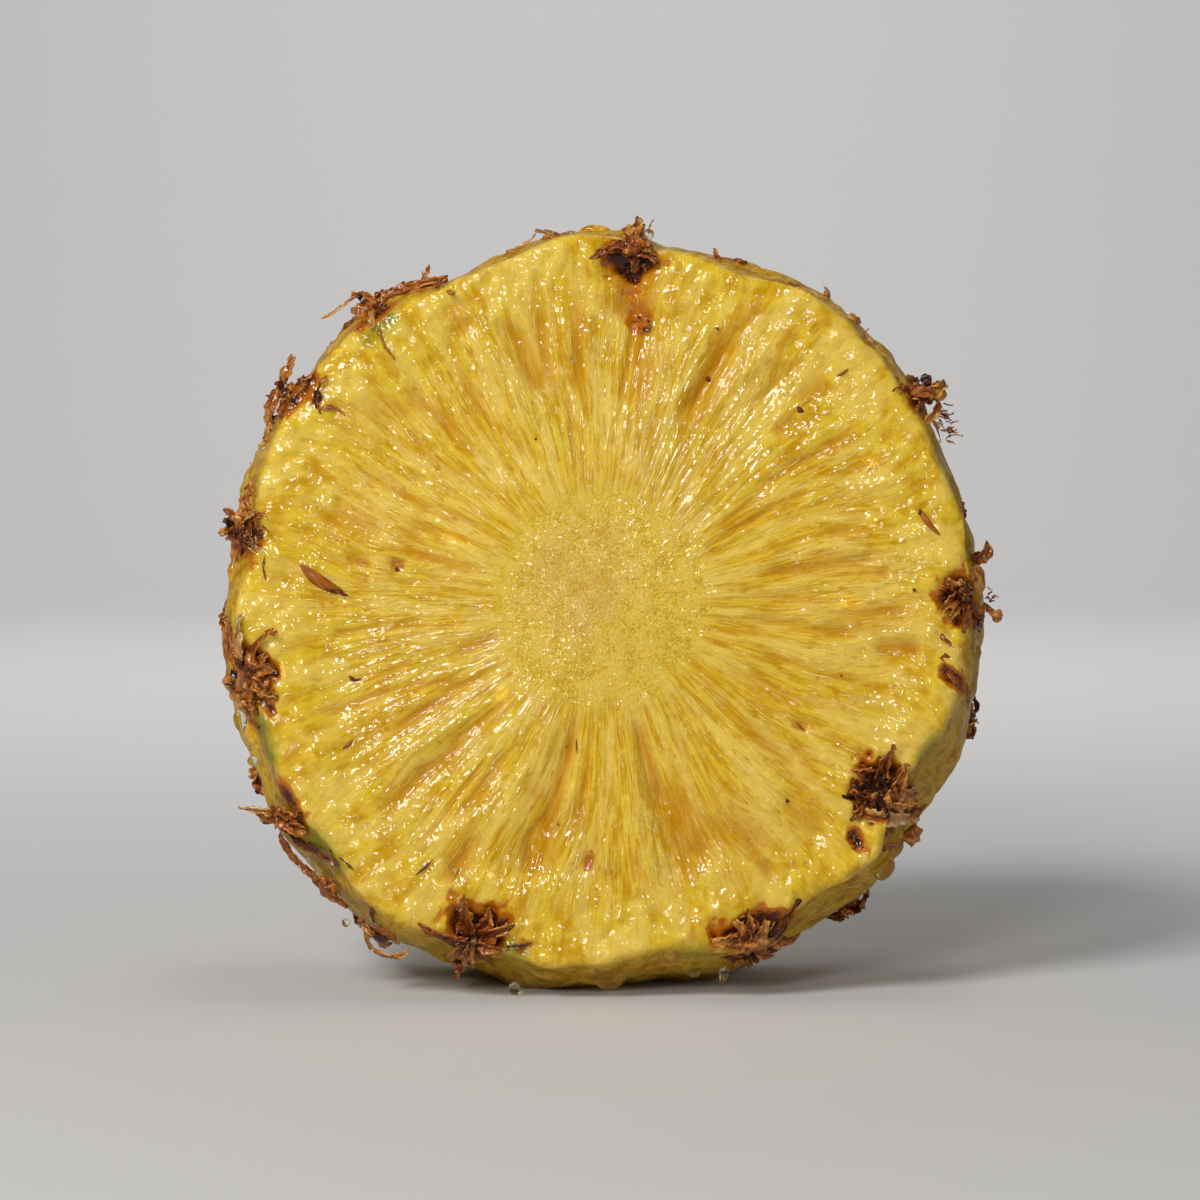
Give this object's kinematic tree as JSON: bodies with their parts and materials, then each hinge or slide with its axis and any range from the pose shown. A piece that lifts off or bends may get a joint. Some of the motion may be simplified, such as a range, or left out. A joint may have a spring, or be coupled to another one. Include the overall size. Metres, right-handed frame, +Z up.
{
  "type": "pineapple slice",
  "caption": "Thick pared cross-cut slice of pineapple with its core and brown eyes left in, standing on its rim on a small flat foot.",
  "frame": {"origin": "middle of the underside of the bounding box, on the surface that the slice stands on", "axes": "+Z up; -Y the way the front cut face looks; +Y through the slice's thickness, its shortest extent; +X to the right seen from the front"},
  "size_m": [0.1052, 0.0424, 0.1033],
  "materials": {
    "flesh": "wet golden flesh with radial fibres and a paler core",
    "eye_bract": "dry brown papery eye remains, dark in their pits",
    "seed": "smooth brown seed, wet",
    "juice": "clear juice in small drops"
  },
  "bodies": {
    "root": {"fruit_slice": "flesh"}
  },
  "joints": []
}
